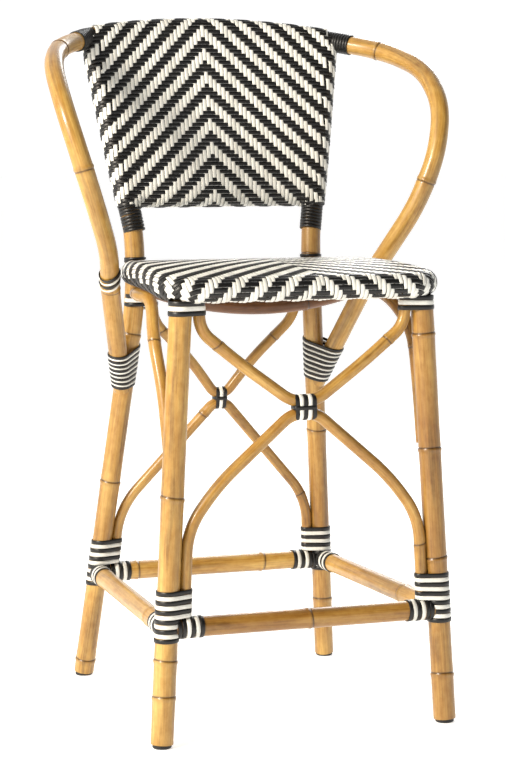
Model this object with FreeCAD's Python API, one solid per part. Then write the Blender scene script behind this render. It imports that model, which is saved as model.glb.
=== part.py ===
import FreeCAD, Part
import math
import os

# Rattan bar stool with arms, a woven seat and back, and a foot rail on all four sides.
# Millimetres. The origin is on the floor, midway between the feet. The front faces -Y, +Z is up,
# and left (-X) and right (+X) are as seen from the front.

# Driving dimensions
FRONT_LEG_DIAMETER = 32.0
REAR_LEG_DIAMETER = 30.0
ARM_DIAMETER = 28.0
SEAT_RAIL_DIAMETER = 27.0
LOWER_BACK_RAIL_DIAMETER = 22.0
FOOT_RAIL_DIAMETER = 28.0
FRONT_ROD_DIAMETER = 17.0
REAR_ROD_DIAMETER = 16.0
SIDE_ROD_DIAMETER = 18.0
SEAT_BOW_DIAMETER = 22.0
WEAVE = 4.0                  # thickness of the woven skins
CANE = 2.5                   # thickness of the cane bindings
FIT = 0.2                    # slack between the seat's skin or a binding and the pole inside it
PANEL_FIT = 1.2              # slack inside the back's skin, which spans the bends of its posts

GLIDE_HEIGHT = 6.0
GLIDE_DIAMETER = 27.0
FOOT_RAIL_HEIGHT = 165.0
FRONT_LEG_TOP = 614.0

SEAT_FRONT = -226.0          # centreline of the front seat rail
SEAT_REAR = 137.0            # centreline of the rear seat rail
SEAT_FRONT_Z = 631.0
SEAT_MIDDLE_Z = 641.0
SEAT_REAR_Z = 634.0
SEAT_FRONT_HALF = 196.0      # half width between the side rails, at the front corner
SEAT_MIDDLE_HALF = 177.0
SEAT_REAR_HALF = 148.0
SEAT_CORNER_RADIUS = 40.0
SEAT_EDGE = SEAT_RAIL_DIAMETER / 2 + WEAVE + FIT

TOP_RAIL_HALF = 200.0
TOP_RAIL_END = (195.0, 989.0)       # y, z of the top rail where the arms begin
TOP_RAIL_MIDDLE = (220.0, 1005.0)
LOWER_RAIL_MIDDLE = (152.0, 748.0)  # y, z of the lower back rail, halfway along
PANEL_BOTTOM = 732.0

FRONT_TIE_HEIGHT = 463.5
REAR_TIE_HEIGHT = 436.0

DOWEL_DIAMETER = 8.0
DOWEL_LENGTH = 40.0
DOWEL_START = 5.0            # from the leg's centreline, inside the leg
DOWEL_LIFT = 5.0             # one joint's dowel passes over the other's
SCREW_DIAMETER = 4.0
ROD_SCREW_LENGTH = 24.0
SIDE_SCREW_LENGTH = 20.0
SCREW_INSET = 0.3            # share of a rod's diameter from its centreline to the screw's head
SEAT_SCREW_DIAMETER = 5.0
FRONT_SEAT_SCREW_LENGTH = 50.0
REAR_SEAT_SCREW_LENGTH = 40.0


def vec(x, y, z):
    return FreeCAD.Vector(x, y, z)


# Centrelines of the right-hand poles, as the corners of their runs
FRONT_LEG = [vec(213, -229, 0), vec(179, -215, FRONT_LEG_TOP)]
REAR_LEG = [
    vec(202, 230, 0), vec(143, 132, 590), vec(142, 137, 700), vec(161, 159, 805), vec(190, 197, 988),
]
ARM = [
    vec(TOP_RAIL_HALF, *TOP_RAIL_END), vec(262, 126, 972), vec(292, 40, 942), vec(293, -24, 886),
    vec(275, -47, 812), vec(247, -34, 735), vec(219, 3, 672), vec(205, 52, 622), vec(157, 155, 452),
]
SIDE_ROD = [
    vec(143, 131, 603), vec(174, 20, 611), vec(181, -84, 610),
    vec(197, -142, 562), vec(192, -174, 488), vec(190, -195, 402),
]


def on_line(points, height):
    """Point at a height on the first run of a pole."""
    low, high = points[0], points[1]
    return low + (high - low) * ((height - low.z) / (high.z - low.z))


def front_plane(x, height):
    return vec(x, on_line(FRONT_LEG, height).y, height)


def rear_plane(x, height):
    return vec(x, on_line(REAR_LEG, height).y, height)


def mirrored(points):
    return [vec(-p.x, p.y, p.z) for p in points]


def bent_path(points, radii=None):
    """Straight runs joined by tangent arcs, as large as the runs allow unless a radius is given."""
    radii = radii or {}
    edges = []
    start = points[0]
    for index in range(1, len(points) - 1):
        before, corner, after = points[index - 1:index + 2]
        into = (corner - before).normalize()
        out = (after - corner).normalize()
        turn = into.getAngle(out)
        room = 0.45 * min(corner.distanceToPoint(before), corner.distanceToPoint(after))
        radius = radii.get(index, room / math.tan(turn / 2))
        reach = radius * math.tan(turn / 2)
        inward = (out - into).normalize()
        middle = corner + inward * (radius / math.cos(turn / 2) - radius)
        first, last = corner - into * reach, corner + out * reach
        edges.append(Part.LineSegment(start, first).toShape())
        edges.append(Part.Arc(first, middle, last).toShape())
        start = last
    edges.append(Part.LineSegment(start, points[-1]).toShape())
    return Part.Wire(edges)


def swept(path, diameter):
    """Round pole along a path."""
    first = path.Edges[0]
    start = first.valueAt(first.FirstParameter)
    ahead = first.tangentAt(first.FirstParameter)
    ring = Part.Wire([Part.Circle(start, ahead, diameter / 2).toShape()])
    solid = path.makePipeShell([ring], True, True)
    assert solid.isValid()
    expected = math.pi * diameter ** 2 / 4 * path.Length
    assert abs(solid.Volume / expected - 1) < 0.02, (solid.Volume, expected)
    return solid


def straight(start, end, diameter):
    return Part.makeCylinder(diameter / 2, start.distanceToPoint(end), start, end - start)


def arc_path(start, middle, end):
    return Part.Wire([Part.Arc(start, middle, end).toShape()])


def slab(low, high):
    """Block that holds everything between two heights."""
    return Part.makeBox(1200, 1200, high - low, vec(-600, -600, low))


def hull_outline(centre_a, radius_a, centre_b, radius_b, normal):
    """Outline of a band pulled tight round two poles, in the plane across them."""
    gap = centre_b - centre_a
    gap = gap - normal * gap.dot(normal)
    distance = gap.Length
    along = gap.normalize()
    across = normal.cross(along)
    lean = math.acos((radius_a - radius_b) / distance)
    tips = []
    for centre, radius in ((centre_a, radius_a), (centre_b, radius_b)):
        for side in (1, -1):
            tips.append(centre + (along * math.cos(lean) + across * (side * math.sin(lean))) * radius)
    a_left, a_right, b_left, b_right = tips
    return Part.Wire([
        Part.Arc(a_left, centre_a - along * radius_a, a_right).toShape(),
        Part.LineSegment(a_right, b_right).toShape(),
        Part.Arc(b_right, centre_b + along * radius_b, b_left).toShape(),
        Part.LineSegment(b_left, a_left).toShape(),
    ])


def wrapped_pair(stations, radius_a, radius_b, normal):
    """Band round two poles: a station holds the two poles' centres, from one end to the other."""
    def body(grow):
        outlines = []
        for a, b in stations:
            outlines.append(hull_outline(a, radius_a + grow, b, radius_b + grow, normal))
        return Part.makeLoft(outlines, True, True)
    return body(FIT + CANE).cut(body(FIT))


def wrapped_level(start, end, radius):
    """Band round one leaning pole, between two level planes."""
    def body(grow):
        circles = [Part.Circle(centre, vec(0, 0, 1), radius + grow) for centre in (start, end)]
        return Part.makeLoft([Part.Wire([circle.toShape()]) for circle in circles], True, True)
    return body(FIT + CANE).cut(body(FIT))


def wrapped_single(start, end, radius):
    outer = straight(start, end, 2 * (radius + FIT + CANE))
    return outer.cut(straight(start, end, 2 * (radius + FIT)))


def largest(shape):
    return max(shape.Solids, key=lambda solid: solid.Volume)


def mirror(shape):
    return shape.mirror(vec(0, 0, 0), vec(1, 0, 0))


def both_sides(name, shape, nodes):
    """Store a right-hand piece and its mirror image."""
    nodes[name + "_right"] = shape
    nodes[name + "_left"] = mirror(shape)


def make_seat_rails():
    rear = vec(SEAT_REAR_HALF, SEAT_REAR - 9, SEAT_REAR_Z)
    middle = vec(SEAT_MIDDLE_HALF, 10, SEAT_MIDDLE_Z)
    corner = vec(SEAT_FRONT_HALF, SEAT_FRONT, SEAT_FRONT_Z)
    right = [rear, middle, corner]
    points = right + mirrored(right)[::-1]
    hoop = swept(bent_path(points, {2: SEAT_CORNER_RADIUS, 3: SEAT_CORNER_RADIUS}), SEAT_RAIL_DIAMETER)
    half = REAR_LEG[1].x
    right_end = vec(half, SEAT_REAR, SEAT_REAR_Z)
    rail = straight(mirrored([right_end])[0], right_end, SEAT_RAIL_DIAMETER)
    return hoop, rail


def make_top_rail_and_arm():
    """Top rail and right-hand arm, mitred at the corner of the back, and the poles that cope the post."""
    overrun = 30.0
    corner, left_corner = ARM[0], mirrored(ARM[:1])[0]
    arc = Part.Arc(left_corner, vec(0, *TOP_RAIL_MIDDLE), corner).toShape()
    rail_way = arc.tangentAt(arc.LastParameter).normalize()
    arm_way = (ARM[1] - corner).normalize()
    right_end = corner + rail_way * overrun
    left_end = mirrored([right_end])[0]
    rail_path = Part.Wire([
        Part.LineSegment(left_end, left_corner).toShape(), arc,
        Part.LineSegment(corner, right_end).toShape(),
    ])
    rail = swept(rail_path, ARM_DIAMETER)
    arm = swept(bent_path([corner - arm_way * overrun] + ARM[1:]), ARM_DIAMETER)
    mitre = (rail_way + arm_way).normalize()
    past_corner = Part.makeCylinder(2 * overrun, 2 * overrun, corner, mitre)
    post_tools = [rail, largest(arm.common(slab(850, 1100)))]
    rail = rail.cut(past_corner).cut(mirror(past_corner))
    arm = largest(arm.cut(Part.makeCylinder(overrun, 2 * overrun, corner, -mitre)))
    return rail, arm, post_tools


def seat_outline(grow):
    """Plan of the seat at a distance outside the rails' centrelines."""
    rear_y = SEAT_REAR + grow
    slope = math.atan2(SEAT_MIDDLE_HALF - SEAT_REAR_HALF, SEAT_REAR - 19)
    rear_x = SEAT_REAR_HALF - (rear_y - SEAT_REAR + 9) * math.tan(slope) + grow / math.cos(slope)
    middle_x = SEAT_MIDDLE_HALF + grow
    front_x = SEAT_FRONT_HALF + grow
    front_y = SEAT_FRONT - grow
    right = [vec(rear_x, rear_y, 0), vec(middle_x, 10, 0), vec(front_x, front_y, 0)]
    points = [vec(0, rear_y, 0)] + right + mirrored(right)[::-1] + [vec(0, rear_y, 0)]
    corner = SEAT_CORNER_RADIUS + grow
    rear_corner = max(REAR_LEG_DIAMETER / 2 + grow - SEAT_RAIL_DIAMETER / 2, 4)
    return bent_path(points, {1: rear_corner, 3: corner, 4: corner, 6: rear_corner})


def seat_side(grow):
    """Side view of the seat at a distance outside the rails' centrelines."""
    rear, front = SEAT_REAR + grow, SEAT_FRONT - grow
    top = Part.Arc(vec(0, SEAT_REAR, SEAT_REAR_Z + grow), vec(0, -40, SEAT_MIDDLE_Z + grow),
                   vec(0, SEAT_FRONT, SEAT_FRONT_Z + grow)).toShape()
    nose = Part.Arc(vec(0, SEAT_FRONT, SEAT_FRONT_Z + grow), vec(0, front, SEAT_FRONT_Z),
                    vec(0, SEAT_FRONT, SEAT_FRONT_Z - grow)).toShape()
    bottom = Part.Arc(vec(0, SEAT_FRONT, SEAT_FRONT_Z - grow), vec(0, -40, SEAT_MIDDLE_Z - grow),
                      vec(0, SEAT_REAR, SEAT_REAR_Z - grow)).toShape()
    back = Part.Arc(vec(0, SEAT_REAR, SEAT_REAR_Z - grow), vec(0, rear, SEAT_REAR_Z),
                    vec(0, SEAT_REAR, SEAT_REAR_Z + grow)).toShape()
    return Part.Wire([top, nose, bottom, back])


def seat_pad(grow):
    low = 550.0
    plan = Part.Face(seat_outline(grow)).extrude(vec(0, 0, 200))
    plan.translate(vec(0, 0, low))
    side = Part.Face(seat_side(grow)).extrude(vec(600, 0, 0))
    side.translate(vec(-300, 0, 0))
    return plan.common(side)


def make_woven_seat(inner_poles):
    """Skin over the rails that turns under them and ends in a hem."""
    skin = seat_pad(SEAT_EDGE).cut(seat_pad(SEAT_EDGE - WEAVE))
    hem_line = Part.Face(seat_outline(-SEAT_RAIL_DIAMETER / 2 - 6)).extrude(vec(0, 0, 200))
    hem_line.translate(vec(0, 0, SEAT_REAR_Z - 200))
    skin = skin.cut(hem_line)
    return skin.cut(inner_poles)


def post_at(height):
    """Point on the right-hand post, beside the back panel."""
    return on_line(REAR_LEG[3:] if height > REAR_LEG[3].z else REAR_LEG[2:], height)


def panel_section(height, grow):
    """Plan of the back panel at a height: round both posts, bowed back between them."""
    post = post_at(height)
    share = (height - LOWER_RAIL_MIDDLE[1]) / (TOP_RAIL_MIDDLE[1] - LOWER_RAIL_MIDDLE[1])
    bow = LOWER_RAIL_MIDDLE[0] + share * (TOP_RAIL_MIDDLE[0] - LOWER_RAIL_MIDDLE[0]) - post.y
    radius = REAR_LEG_DIAMETER / 2 + grow
    front, rear = post.y - radius, post.y + radius
    left, right = -post.x, post.x

    def point(x, y):
        return vec(x, y, height)
    return Part.Wire([
        Part.Arc(point(left, front), point(0, front + bow), point(right, front)).toShape(),
        Part.Arc(point(right, front), point(right + radius, post.y), point(right, rear)).toShape(),
        Part.Arc(point(right, rear), point(0, rear + bow), point(left, rear)).toShape(),
        Part.Arc(point(left, rear), point(left - radius, post.y), point(left, front)).toShape(),
    ])


def panel_envelope(grow):
    heights = [PANEL_BOTTOM - 22, 770, 850, 930, 1030]
    body = Part.makeLoft([panel_section(h, grow) for h in heights], True)
    rise = ARM_DIAMETER / 2 + grow
    end_z, middle_z = TOP_RAIL_END[1] + rise, TOP_RAIL_MIDDLE[1] + rise
    bottom = PANEL_BOTTOM + WEAVE - grow
    half = TOP_RAIL_HALF + 40
    end_z -= (middle_z - end_z) * (half ** 2 / TOP_RAIL_HALF ** 2 - 1)
    outline = Part.Wire([
        Part.Arc(vec(-half, 0, end_z), vec(0, 0, middle_z), vec(half, 0, end_z)).toShape(),
        Part.LineSegment(vec(half, 0, end_z), vec(half, 0, bottom)).toShape(),
        Part.LineSegment(vec(half, 0, bottom), vec(-half, 0, bottom)).toShape(),
        Part.LineSegment(vec(-half, 0, bottom), vec(-half, 0, end_z)).toShape(),
    ])
    return body.common(Part.Face(outline).extrude(vec(0, 400, 0)))


def make_woven_back(inner_poles):
    """Skin on the front of the back frame that turns round the posts and rails behind."""
    skin = panel_envelope(WEAVE + FIT).cut(panel_envelope(PANEL_FIT))
    hem = 14.0
    behind_posts = 10.0
    low = PANEL_BOTTOM + LOWER_BACK_RAIL_DIAMETER + hem
    high = TOP_RAIL_END[1] - ARM_DIAMETER
    right = [vec(post_at(low).x - 2 * hem, 0, low), vec(post_at(high).x - 2 * hem, 0, high)]
    corners = right + mirrored(right)[::-1]
    opening = Part.Face(Part.makePolygon(corners + corners[:1])).extrude(vec(0, 400, 0))
    behind = [vec(-300, post_at(z).y + behind_posts, z) for z in (low - 20, high + 20)]
    behind += [vec(-300, 400, high + 20), vec(-300, 400, low - 20)]
    rear_half = Part.Face(Part.makePolygon(behind + behind[:1])).extrude(vec(600, 0, 0))
    return skin.cut(opening.common(rear_half)).cut(inner_poles)


def rod_pair(plane, upper, lower, diameter):
    """Two rods bent to an X that touch halfway: (x, z) corners from the end to the middle."""
    rods = []
    for corners in (upper, lower):
        right = [plane(x, z) for x, z in corners]
        rods.append(swept(bent_path(right + mirrored(right)[::-1]), diameter))
    return rods


def make_glide(foot):
    """Plastic glide with a chamfered lower edge."""
    radius = GLIDE_DIAMETER / 2
    glide = Part.makeCylinder(radius, GLIDE_HEIGHT, vec(foot.x, foot.y, 0))
    lower = [edge for edge in glide.Edges if edge.BoundBox.ZMax < GLIDE_HEIGHT / 2 and edge.Closed]
    return glide.makeChamfer(1.5, lower[:1])


def make_all():
    nodes = {}
    front_radius, rear_radius = FRONT_LEG_DIAMETER / 2, REAR_LEG_DIAMETER / 2
    rail_radius = FOOT_RAIL_DIAMETER / 2

    # Poles at full length, before their ends are shaped to each other
    under_foot = slab(-200, GLIDE_HEIGHT)
    front_leg = straight(on_line(FRONT_LEG, -20), FRONT_LEG[1], FRONT_LEG_DIAMETER).cut(under_foot)
    rear_leg = swept(bent_path([on_line(REAR_LEG, -20)] + REAR_LEG[1:]), REAR_LEG_DIAMETER)
    rear_leg = rear_leg.cut(under_foot)
    top_rail, arm, post_tools = make_top_rail_and_arm()
    hoop, seat_rear = make_seat_rails()

    lower_y, lower_z = LOWER_RAIL_MIDDLE
    lower_end = post_at(lower_z)
    lower_path = arc_path(vec(-lower_end.x, lower_end.y, lower_z), vec(0, lower_y, lower_z), lower_end)
    lower_rail = swept(lower_path, LOWER_BACK_RAIL_DIAMETER)

    bow_end = vec(178, -34, 624)
    bow_path = arc_path(vec(-bow_end.x, bow_end.y, bow_end.z), vec(0, bow_end.y, 591), bow_end)
    seat_bow = swept(bow_path, SEAT_BOW_DIAMETER)
    side_rod = swept(bent_path(SIDE_ROD), SIDE_ROD_DIAMETER)

    # Foot rails between the legs' centrelines, dowelled at each end
    front_joint = on_line(FRONT_LEG, FOOT_RAIL_HEIGHT)
    rear_joint = on_line(REAR_LEG, FOOT_RAIL_HEIGHT)
    front_rail = straight(mirrored([front_joint])[0], front_joint, FOOT_RAIL_DIAMETER)
    rear_rail = straight(mirrored([rear_joint])[0], rear_joint, FOOT_RAIL_DIAMETER)
    side_rail = straight(front_joint, rear_joint, FOOT_RAIL_DIAMETER)

    # Rods that cross below the seat, front and rear, as (x, z) corners from the leg to the middle
    front_top = FRONT_TIE_HEIGHT + FRONT_ROD_DIAMETER / 2
    front_bottom = FRONT_TIE_HEIGHT - FRONT_ROD_DIAMETER / 2
    rod_end = FOOT_RAIL_HEIGHT + rail_radius + 4
    front_gap = front_radius + FRONT_ROD_DIAMETER / 2
    front_upper_line = [
        (on_line(FRONT_LEG, 612).x - front_gap, 612), (151, 574), (95, 528), (18, front_top),
    ]
    front_lower_line = [
        (on_line(FRONT_LEG, rod_end).x - front_gap, rod_end), (173, 300), (128, 360), (18, front_bottom),
    ]
    rear_top = REAR_TIE_HEIGHT + REAR_ROD_DIAMETER / 2
    rear_bottom = REAR_TIE_HEIGHT - REAR_ROD_DIAMETER / 2
    rear_gap = rear_radius + REAR_ROD_DIAMETER / 2
    rear_upper_line = [(on_line(REAR_LEG, 604).x - rear_gap, 604), (113, 560), (50, 497), (10, rear_top)]
    rear_lower_line = [(on_line(REAR_LEG, rod_end).x - rear_gap, rod_end), (153, 268), (10, rear_bottom)]
    front_upper, front_lower = rod_pair(front_plane, front_upper_line, front_lower_line, FRONT_ROD_DIAMETER)
    rear_upper, rear_lower = rod_pair(rear_plane, rear_upper_line, rear_lower_line, REAR_ROD_DIAMETER)

    # Dowels in the foot rails and screws in the other joints
    dowels, screws, seat_screws = [], [], []
    screw_radius, seat_screw_radius = SCREW_DIAMETER / 2, SEAT_SCREW_DIAMETER / 2
    for side in (1, -1):
        for joint, other in ((front_joint, rear_joint), (rear_joint, front_joint)):
            start = vec(joint.x * side, joint.y, joint.z)
            across = vec(-side, 0, 0)
            along = vec((other.x - joint.x) * side, other.y - joint.y, 0).normalize()
            for way, lift in ((across, DOWEL_LIFT), (along, -DOWEL_LIFT)):
                centre = start + way * DOWEL_START + vec(0, 0, lift)
                dowels.append(Part.makeCylinder(DOWEL_DIAMETER / 2, DOWEL_LENGTH, centre, way))
        for plane, diameter, ends in (
            (front_plane, FRONT_ROD_DIAMETER, ((FRONT_LEG, 596, front_gap), (FRONT_LEG, 200, front_gap))),
            (rear_plane, REAR_ROD_DIAMETER, ((REAR_LEG, 580, rear_gap), (REAR_LEG, 200, rear_gap))),
        ):
            for leg, height, gap in ends:
                x = on_line(leg, height).x - gap
                start = plane(x * side, height) - vec(side * diameter * SCREW_INSET, 0, 0)
                screws.append(Part.makeCylinder(screw_radius, ROD_SCREW_LENGTH, start, vec(side, 0, 0)))
        head = vec(190 * side, -186 - SIDE_ROD_DIAMETER * SCREW_INSET, 415)
        screws.append(Part.makeCylinder(screw_radius, SIDE_SCREW_LENGTH, head, vec(0, -1, 0)))
        head = vec((FRONT_LEG[1].x + 3) * side, FRONT_LEG[1].y - 3, SEAT_FRONT_Z + 8)
        seat_screws.append(
            Part.makeCylinder(seat_screw_radius, FRONT_SEAT_SCREW_LENGTH, head, vec(0, 0, -1)))
    for side in (1, -1):
        at_leg = vec(REAR_LEG[1].x * side, SEAT_REAR, SEAT_REAR_Z)
        seat_screws.append(
            Part.makeCylinder(seat_screw_radius, REAR_SEAT_SCREW_LENGTH, at_leg, vec(-side, 0, 0)))
    dowels = Part.makeCompound(dowels)
    screws = Part.makeCompound(screws)
    seat_screws = Part.makeCompound(seat_screws)
    fasteners = Part.makeCompound(dowels.Solids + screws.Solids + seat_screws.Solids)

    # Ends shaped to the pole that they meet
    leg_at_foot = rear_leg.common(slab(0, 800))
    rear_leg = largest(largest(rear_leg.cut(post_tools[0])).cut(post_tools[1]))
    hoop = hoop.cut(rear_leg).cut(mirror(rear_leg))
    seat_rear = seat_rear.cut(rear_leg).cut(mirror(rear_leg)).cut(hoop)
    front_leg = front_leg.cut(hoop)
    arm = largest(arm.cut(leg_at_foot))
    lower_rail = lower_rail.cut(rear_leg).cut(mirror(rear_leg))
    seat_bow = largest(seat_bow.cut(hoop))
    side_rod = largest(side_rod.cut(rear_leg).cut(front_leg).cut(hoop))
    legs = Part.makeCompound([front_leg, rear_leg, mirror(front_leg), mirror(rear_leg)])
    front_rail = front_rail.cut(legs)
    rear_rail = rear_rail.cut(legs)
    side_rail = side_rail.cut(legs)
    front_upper = front_upper.cut(legs).cut(hoop)
    front_lower = front_lower.cut(legs).cut(front_rail).cut(front_upper)
    rear_upper = rear_upper.cut(legs).cut(hoop).cut(seat_rear)
    rear_lower = rear_lower.cut(legs).cut(rear_rail).cut(rear_upper)
    side_rod = side_rod.cut(front_upper).cut(rear_upper)

    right_poles = {
        "front_leg": front_leg, "rear_leg": rear_leg, "arm": arm,
        "side_foot_rail": side_rail, "side_brace": side_rod,
    }
    middle_poles = {
        "back_top_rail": top_rail, "back_lower_rail": lower_rail, "seat_hoop": hoop,
        "seat_rear_rail": seat_rear, "seat_cross_bow": seat_bow, "front_foot_rail": front_rail,
        "rear_foot_rail": rear_rail, "front_brace_upper": front_upper, "front_brace_lower": front_lower,
        "rear_brace_upper": rear_upper, "rear_brace_lower": rear_lower,
    }
    for name, pole in right_poles.items():
        both_sides(name, pole.cut(fasteners), nodes)
    for name, pole in middle_poles.items():
        nodes[name] = pole.cut(fasteners)
    poles = Part.makeCompound([solid for shape in nodes.values() for solid in shape.Solids])

    nodes["woven_seat"] = make_woven_seat(poles)
    nodes["woven_back"] = make_woven_back(poles)

    # Cane bindings
    up = vec(0, 0, 1)

    def leg_and_rod(leg, leg_radius, plane, rod_line, rod_radius, low, high):
        rod = [plane(x, z) for x, z in rod_line[:2]]
        stations = [(on_line(leg, height), on_line(rod, height)) for height in (low, high)]
        return wrapped_pair(stations, leg_radius, rod_radius, up)

    bind_low, bind_step, bind_high = 147.0, 175.0, 219.0
    for name, leg, radius, plane, rod, lower_line, upper_line, seat_low, seat_high in (
        ("front", FRONT_LEG, front_radius, front_plane, FRONT_ROD_DIAMETER / 2,
         front_lower_line, front_upper_line, 596.0, FRONT_LEG_TOP),
        ("rear", REAR_LEG, rear_radius, rear_plane, REAR_ROD_DIAMETER / 2,
         rear_lower_line, rear_upper_line, 584.0, 603.0),
    ):
        upper = leg_and_rod(leg, radius, plane, lower_line, rod, bind_step, bind_high)
        lower = wrapped_level(on_line(leg, bind_low), on_line(leg, bind_step), radius)
        both_sides(name + "_corner_binding", largest(upper.fuse(lower).cut(poles)), nodes)
        seat_level = leg_and_rod(leg, radius, plane, upper_line, rod, seat_low, seat_high)
        both_sides(name + "_seat_binding", seat_level.cut(poles).cut(nodes["woven_seat"]), nodes)

    rail_bind_start, rail_bind_length = front_radius + FIT + CANE + 0.3, 32.0
    for name, joint, other in (
        ("front_rail_binding", front_joint, None), ("rear_rail_binding", rear_joint, None),
        ("side_rail_front_binding", front_joint, rear_joint),
        ("side_rail_rear_binding", rear_joint, front_joint),
    ):
        way = vec(-1, 0, 0) if other is None else (other - joint).normalize()
        start = joint + way * rail_bind_start
        ring = wrapped_single(start, start + way * rail_bind_length, rail_radius)
        bound = [nodes[n] for n in nodes if n.endswith("corner_binding_right")]
        both_sides(name, ring.cut(poles).cut(Part.makeCompound(bound)), nodes)

    # Arm foot against the rear leg, wide enough for a level section of the leaning arm
    arm_run = [ARM[-1], ARM[-2]]
    level_arm_radius = ARM_DIAMETER / 2 / (ARM[-2] - ARM[-1]).normalize().z
    stations = [(on_line(REAR_LEG, z), on_line(arm_run, z)) for z in (462.0, 524.0)]
    foot_binding = wrapped_pair(stations, rear_radius, level_arm_radius, up)
    both_sides("arm_foot_binding", foot_binding.cut(poles), nodes)

    # Arm against the seat's side, top corners, and the posts above and below the panel
    def ring_on(points, start_share, end_share, radius):
        low, high = points
        return wrapped_single(low + (high - low) * start_share, low + (high - low) * end_share, radius)

    skins = Part.makeCompound([nodes["woven_seat"], nodes["woven_back"]])
    tie = ring_on(ARM[6:8], 0.60, 1.0, ARM_DIAMETER / 2)
    both_sides("arm_seat_binding", tie.cut(poles).cut(skins), nodes)
    corner = ring_on(ARM[0:2], 0.20, 0.42, ARM_DIAMETER / 2)
    both_sides("top_corner_binding", corner, nodes)
    post = [vec(142, 134.3, 640), vec(142, 137, 700)]
    at_panel = wrapped_single(vec(142.3, 137.4, 699), vec(148.0, 144.3, PANEL_BOTTOM), rear_radius)
    both_sides("panel_post_binding", largest(at_panel.cut(poles).cut(skins)), nodes)
    at_seat = ring_on(post, 0.22, 0.36, rear_radius)
    both_sides("post_seat_binding", largest(at_seat.cut(poles).cut(skins)), nodes)

    # Ties round the middle of each X
    for name, plane, height, rod, half in (
        ("front", front_plane, FRONT_TIE_HEIGHT, FRONT_ROD_DIAMETER, 16.0),
        ("rear", rear_plane, REAR_TIE_HEIGHT, REAR_ROD_DIAMETER, 9.0),
    ):
        stations = [(plane(x, height + rod / 2), plane(x, height - rod / 2)) for x in (-half, half)]
        tie = wrapped_pair(stations, rod / 2, rod / 2, vec(1, 0, 0))
        nodes[name + "_brace_tie"] = tie.cut(poles)

    for name, leg in (("front", FRONT_LEG), ("rear", REAR_LEG)):
        both_sides(name + "_glide", make_glide(on_line(leg, GLIDE_HEIGHT)), nodes)
    nodes["foot_rail_dowels"] = dowels
    nodes["brace_screws"] = screws
    nodes["seat_frame_screws"] = seat_screws
    return nodes


os.makedirs("parts", exist_ok=True)
for name, shape in make_all().items():
    print(name, shape.ShapeType, len(shape.Solids), shape.isValid(), round(shape.Volume))
    shape.exportStep("parts/" + name + ".step")
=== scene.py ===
import math

import bpy
import numpy as np
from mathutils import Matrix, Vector


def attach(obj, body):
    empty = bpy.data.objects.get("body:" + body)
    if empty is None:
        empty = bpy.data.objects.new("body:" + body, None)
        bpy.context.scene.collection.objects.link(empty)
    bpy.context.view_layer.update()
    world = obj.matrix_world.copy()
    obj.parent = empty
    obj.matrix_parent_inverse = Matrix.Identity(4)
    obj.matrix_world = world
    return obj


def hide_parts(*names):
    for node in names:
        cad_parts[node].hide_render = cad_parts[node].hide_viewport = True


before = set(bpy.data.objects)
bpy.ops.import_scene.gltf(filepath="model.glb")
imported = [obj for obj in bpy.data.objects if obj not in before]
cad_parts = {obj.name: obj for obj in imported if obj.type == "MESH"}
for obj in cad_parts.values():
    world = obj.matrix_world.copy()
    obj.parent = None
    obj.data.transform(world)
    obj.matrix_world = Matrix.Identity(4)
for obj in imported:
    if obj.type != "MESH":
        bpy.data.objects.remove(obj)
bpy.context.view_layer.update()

bl_info = {
    "name": "Rattan bar stool",
    "version": (1, 0, 0),
    "blender": (4, 5, 0),
    "location": "View3D > Sidebar > Stool",
    "description": "Looks of a bar stool of bent rattan poles with a woven seat and back",
    "category": "Object",
}

# Everything about the stool's shape is in millimetres: the origin is on the floor between the feet, the
# front faces -Y and +X is the right-hand side as seen from the front. Meshes are stored in metres.
MM = 0.001

FRONT_LEG_RADIUS = 16.0
REAR_LEG_RADIUS = 15.0
ARM_RADIUS = 14.0
FOOT_RAIL_RADIUS = 14.0
SEAT_RAIL_RADIUS = 13.5
LOWER_BACK_RAIL_RADIUS = 11.0
SEAT_BOW_RADIUS = 11.0
FRONT_ROD_RADIUS = 8.5
REAR_ROD_RADIUS = 8.0
SIDE_ROD_RADIUS = 9.0
FOOT_RAIL_HEIGHT = 165.0
GLIDE_HEIGHT = 6.0
FRONT_TIE_HEIGHT = 463.5
REAR_TIE_HEIGHT = 436.0


def line(*rows):
    return np.array(rows, float)


# Corners of the centrelines of the right-hand poles, as they are in the CAD part
FRONT_LEG = line((213, -229, 0), (179, -215, 614))
REAR_LEG = line((202, 230, 0), (143, 132, 590), (142, 137, 700), (161, 159, 805), (190, 197, 988))
ARM = line(
    (200, 195, 989), (262, 126, 972), (292, 40, 942), (293, -24, 886), (275, -47, 812),
    (247, -34, 735), (219, 3, 672), (205, 52, 622), (157, 155, 452),
)
SIDE_ROD = line(
    (143, 131, 603), (174, 20, 611), (181, -84, 610), (197, -142, 562), (192, -174, 488), (190, -195, 402),
)
TOP_RAIL = line((-200, 195, 989), (0, 220, 1005), (200, 195, 989))
LOWER_RAIL_MIDDLE = (152.0, 748.0)
SEAT_PROFILE = line((137, 634), (-40, 641), (-226, 631))
SEAT_CORNERS = line((0, 137), (145.8, 137), (177, 10), (196, -226), (-196, -226), (-177, 10), (-145.8, 137),
                    (0, 137))
SEAT_BOW = line((-178, -34, 624), (0, -34, 591), (178, -34, 624))


# ---------------------------------------------------------------- sizes and colours a user may change

def length(name, description, default):
    return bpy.props.FloatProperty(name=name, description=description, default=default * MM, min=0.0,
                                   unit="LENGTH")


def colour(name, description, default):
    return bpy.props.FloatVectorProperty(name=name, description=description, default=linear(default),
                                         subtype="COLOR", size=3, min=0.0, max=1.0)


def linear(code):
    """Linear colour of an sRGB hex code."""
    channels = [int(code[i:i + 2], 16) / 255 for i in (1, 3, 5)]
    return tuple(c / 12.92 if c <= 0.04045 else ((c + 0.055) / 1.055) ** 2.4 for c in channels)


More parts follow.
